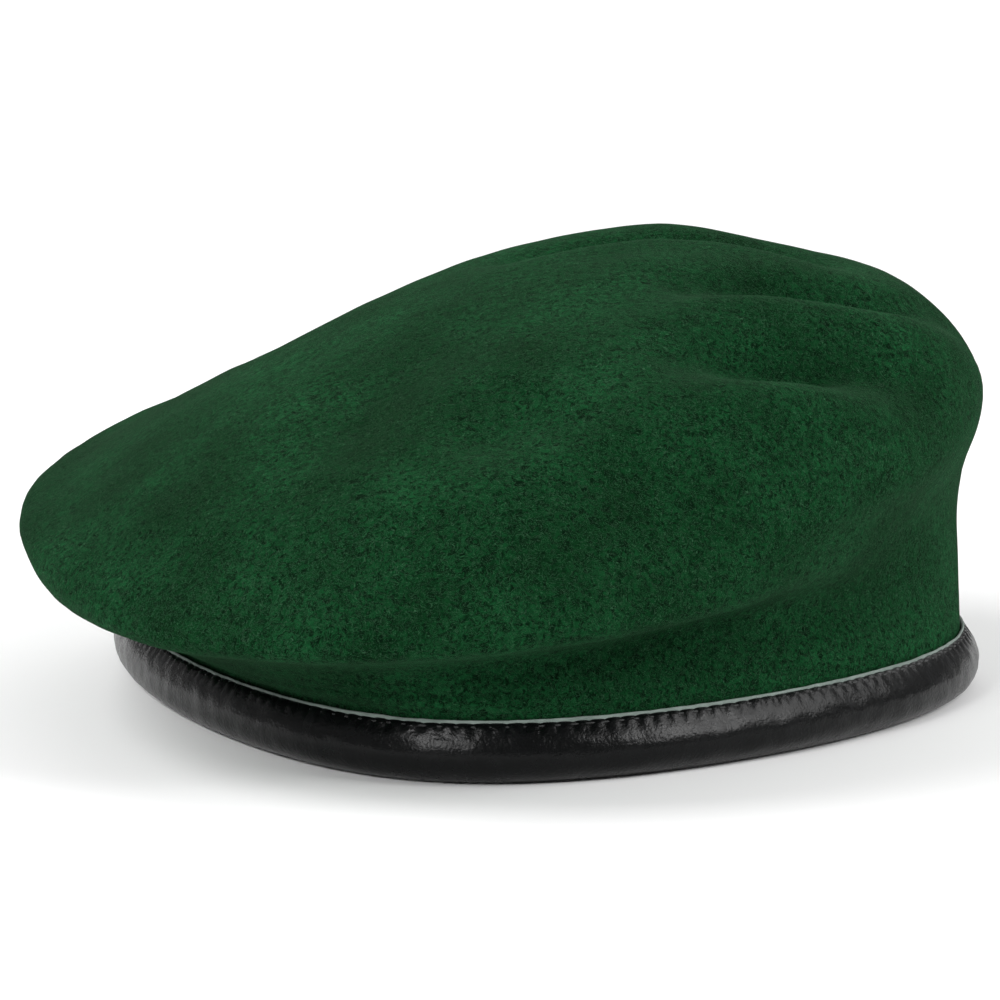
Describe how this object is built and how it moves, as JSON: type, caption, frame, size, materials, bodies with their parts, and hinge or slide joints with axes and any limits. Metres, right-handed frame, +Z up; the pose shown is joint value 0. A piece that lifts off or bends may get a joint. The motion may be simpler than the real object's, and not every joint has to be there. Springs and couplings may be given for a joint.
{
  "type": "felt beret",
  "caption": "Soft green wool-felt beret, high on the wearer's left and draped to the right, with a black leather binding round the head opening and a lined inside.",
  "frame": {"origin": "centre of the head opening, in the plane that the leather binding rests on", "axes": "+Z up out of the crown, -Y to the front over the wearer's forehead, +X to the wearer's left, where the crown stands high"},
  "size_m": [0.2176, 0.2406, 0.1019],
  "materials": {
    "green_felt": "milled and brushed wool felt",
    "black_leather": "soft grained nappa, satin",
    "grey_tape": "woven tape, matt",
    "black_thread": "polyester sewing thread",
    "black_cord": "flat braided cord",
    "black_lining": "thin satin lining",
    "fibre_sheet": "pressed fibre sheet, matt",
    "label_tape": "woven label tape, blank",
    "label_thread": "sewing thread"
  },
  "bodies": {
    "root": {"felt_crown": "green_felt", "leather_binding": "black_leather", "edge_tape": "grey_tape", "binding_seam_thread": "black_thread", "binding_hem_thread": "black_thread", "binding_join_thread": "black_thread", "drawcord": "black_cord", "drawcord_knot": "black_cord", "lining_top_panel": "black_lining", "lining_side_panel": "black_lining", "lining_seam_thread": "black_thread", "badge_stiffener": "fibre_sheet", "size_label": "label_tape", "size_label_thread": "label_thread"}
  },
  "joints": []
}
